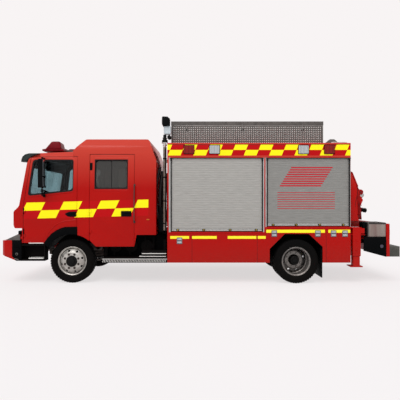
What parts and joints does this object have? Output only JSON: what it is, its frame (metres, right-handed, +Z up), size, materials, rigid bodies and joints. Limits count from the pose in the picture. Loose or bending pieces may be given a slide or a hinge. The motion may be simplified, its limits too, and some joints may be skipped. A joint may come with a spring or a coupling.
{
  "type": "rescue truck",
  "caption": "Cab-over rescue truck: tilting crew cab, locker body with roller shutters, roof lockers, light mast, rear crane and outrigger legs.",
  "frame": {"origin": "on the ground under the middle of the truck's length and width", "axes": "+Z up, the truck faces -X, its left side is at -Y"},
  "size_m": [7.56, 2.8, 3.1599],
  "materials": {
    "red_paint": "gloss fire red",
    "black_steel": "satin black",
    "cast_grey": "rough",
    "tread_plate": "five-bar tread plate",
    "shutter_aluminium": "anodised slats",
    "wheel_silver": "silver",
    "tyre_black": "matt",
    "clear_glass": "tinted",
    "seat_cloth": "woven",
    "black_plastic": "grained",
    "red_lens": "lens",
    "steel": "brushed"
  },
  "bodies": {
    "chassis": {"chassis_frame": "black_steel", "engine": "cast_grey", "front_axle": "black_steel", "rear_axle": "black_steel", "tanks": "black_steel", "front_bumper": "red_paint", "lamps": "red_lens", "side_steps": "tread_plate", "mudguards": "black_plastic", "body_shell": "red_paint", "lockers": "tread_plate", "intake_stack": "black_plastic", "mast_post": "steel", "crane_base": "black_steel", "rear_bumper": "red_paint"},
    "cab": {"cab_shell": "red_paint", "cab_glass": "clear_glass", "seats": "seat_cloth", "dashboard": "black_plastic", "front_grille": "black_plastic", "sun_visor": "black_plastic", "light_bar": "red_lens"},
    "steering_wheel": {"steering_wheel": "black_plastic"},
    "mast_tube": {"mast_tube": "steel"},
    "mast_lamps": {"mast_lamps": "black_plastic"},
    "crane_column": {"crane_column": "red_paint"},
    "crane_boom": {"crane_boom": "red_paint"},
    "crane_extension": {"crane_extension": "red_paint"},
    "left_knuckle": {"left_knuckle": "black_steel"},
    "left_front_wheel": {"left_front_wheel": "wheel_silver", "left_front_tyre": "tyre_black"},
    "left_rear_wheels": {"left_rear_wheels": "wheel_silver", "left_rear_tyres": "tyre_black"},
    "left_front_door": {"left_front_door": "red_paint", "left_front_door_glass": "clear_glass", "left_mirror": "black_plastic"},
    "left_crew_door": {"left_crew_door": "red_paint", "left_crew_door_glass": "clear_glass"},
    "left_roof_lid": {"left_roof_lid": "tread_plate"},
    "left_outrigger_leg": {"left_outrigger_leg": "red_paint"},
    "left_front_shutter": {"left_front_shutter_bar": "steel", "left_front_shutter_curtain": "shutter_aluminium"},
    "left_rear_shutter": {"left_rear_shutter_bar": "steel", "left_rear_shutter_curtain": "shutter_aluminium"},
    "right_knuckle": {"right_knuckle": "black_steel"},
    "right_front_wheel": {"right_front_wheel": "wheel_silver", "right_front_tyre": "tyre_black"},
    "right_rear_wheels": {"right_rear_wheels": "wheel_silver", "right_rear_tyres": "tyre_black"},
    "right_front_door": {"right_front_door": "red_paint", "right_front_door_glass": "clear_glass", "right_mirror": "black_plastic"},
    "right_crew_door": {"right_crew_door": "red_paint", "right_crew_door_glass": "clear_glass"},
    "right_roof_lid": {"right_roof_lid": "tread_plate"},
    "right_outrigger_leg": {"right_outrigger_leg": "red_paint"},
    "right_front_shutter": {"right_front_shutter_bar": "steel", "right_front_shutter_curtain": "shutter_aluminium"},
    "right_rear_shutter": {"right_rear_shutter_bar": "steel", "right_rear_shutter_curtain": "shutter_aluminium"}
  },
  "joints": [
    {"name": "cab_tilt", "type": "hinge", "parent": "chassis", "child": "cab", "pos_m": [-3.45, 0, 1], "axis": [0, -1, 0], "range_deg": [0, 45]},
    {"name": "steering_wheel_turn", "type": "hinge", "parent": "cab", "child": "steering_wheel", "pos_m": [-2.99, -0.64, 1.65], "axis": [0.5736, 0, 0.8192], "range_deg": [-480, 480]},
    {"name": "left_steer", "type": "hinge", "parent": "chassis", "child": "left_knuckle", "pos_m": [-2.43, -0.85, 0.419], "axis": [0, 0, 1], "range_deg": [-38, 38]},
    {"name": "left_front_roll", "type": "hinge", "parent": "left_knuckle", "child": "left_front_wheel", "pos_m": [-2.43, -1, 0.419], "axis": [0, 1, 0], "continuous": true},
    {"name": "left_rear_roll", "type": "hinge", "parent": "chassis", "child": "left_rear_wheels", "pos_m": [1.82, -0.915, 0.419], "axis": [0, 1, 0], "continuous": true},
    {"name": "left_front_door_hinge", "type": "hinge", "parent": "cab", "child": "left_front_door", "pos_m": [-3.336, -1.182, 1.5], "axis": [0, 0, -1], "range_deg": [0, 70]},
    {"name": "left_crew_door_hinge", "type": "hinge", "parent": "cab", "child": "left_crew_door", "pos_m": [-2.09, -1.182, 1.5], "axis": [0, 0, -1], "range_deg": [0, 75]},
    {"name": "left_roof_lid_hinge", "type": "hinge", "parent": "chassis", "child": "left_roof_lid", "pos_m": [0.9, -0.292, 3.04], "axis": [-1, 0, 0], "range_deg": [0, 85]},
    {"name": "left_outrigger_leg_slide", "type": "slide", "parent": "chassis", "child": "left_outrigger_leg", "axis": [0, 0, -1], "range_m": [0, 0.305]},
    {"name": "left_front_shutter_slide", "type": "slide", "parent": "chassis", "child": "left_front_shutter", "axis": [0, 0, 1], "range_m": [0, 1.3], "deforming": ["left_front_shutter_curtain"]},
    {"name": "left_rear_shutter_slide", "type": "slide", "parent": "chassis", "child": "left_rear_shutter", "axis": [0, 0, 1], "range_m": [0, 1.2], "deforming": ["left_rear_shutter_curtain"]},
    {"name": "right_steer", "type": "hinge", "parent": "chassis", "child": "right_knuckle", "pos_m": [-2.43, 0.85, 0.419], "axis": [0, 0, 1], "range_deg": [-38, 38]},
    {"name": "right_front_roll", "type": "hinge", "parent": "right_knuckle", "child": "right_front_wheel", "pos_m": [-2.43, 1, 0.419], "axis": [0, 1, 0], "continuous": true},
    {"name": "right_rear_roll", "type": "hinge", "parent": "chassis", "child": "right_rear_wheels", "pos_m": [1.82, 0.915, 0.419], "axis": [0, 1, 0], "continuous": true},
    {"name": "right_front_door_hinge", "type": "hinge", "parent": "cab", "child": "right_front_door", "pos_m": [-3.336, 1.182, 1.5], "axis": [0, 0, 1], "range_deg": [0, 70]},
    {"name": "right_crew_door_hinge", "type": "hinge", "parent": "cab", "child": "right_crew_door", "pos_m": [-2.09, 1.182, 1.5], "axis": [0, 0, 1], "range_deg": [0, 75]},
    {"name": "right_roof_lid_hinge", "type": "hinge", "parent": "chassis", "child": "right_roof_lid", "pos_m": [0.9, 0.292, 3.04], "axis": [1, 0, 0], "range_deg": [0, 85]},
    {"name": "right_outrigger_leg_slide", "type": "slide", "parent": "chassis", "child": "right_outrigger_leg", "axis": [0, 0, -1], "range_m": [0, 0.305]},
    {"name": "right_front_shutter_slide", "type": "slide", "parent": "chassis", "child": "right_front_shutter", "axis": [0, 0, 1], "range_m": [0, 1.3], "deforming": ["right_front_shutter_curtain"]},
    {"name": "right_rear_shutter_slide", "type": "slide", "parent": "chassis", "child": "right_rear_shutter", "axis": [0, 0, 1], "range_m": [0, 1.2], "deforming": ["right_rear_shutter_curtain"]},
    {"name": "mast_rise", "type": "slide", "parent": "chassis", "child": "mast_tube", "axis": [0, 0, 1], "range_m": [0, 1.2]},
    {"name": "mast_turn", "type": "hinge", "parent": "mast_tube", "child": "mast_lamps", "pos_m": [-0.672, -1.06, 2.75], "axis": [0, 0, 1], "range_deg": [-170, 170]},
    {"name": "crane_slew", "type": "hinge", "parent": "chassis", "child": "crane_column", "pos_m": [2.99, 0, 1.18], "axis": [0, 0, 1], "range_deg": [0, 180]},
    {"name": "crane_luff", "type": "hinge", "parent": "crane_column", "child": "crane_boom", "pos_m": [2.99, 0.04, 1.565], "axis": [-1, 0, 0], "range_deg": [0, 70]},
    {"name": "crane_extend", "type": "slide", "parent": "crane_boom", "child": "crane_extension", "axis": [0, -1, 0], "range_m": [0, 0.8]}
  ],
  "couplings": [
    {"joint": "right_steer", "follows": "left_steer", "ratio": 1},
    {"joint": "steering_wheel_turn", "follows": "left_steer", "ratio": 12}
  ]
}
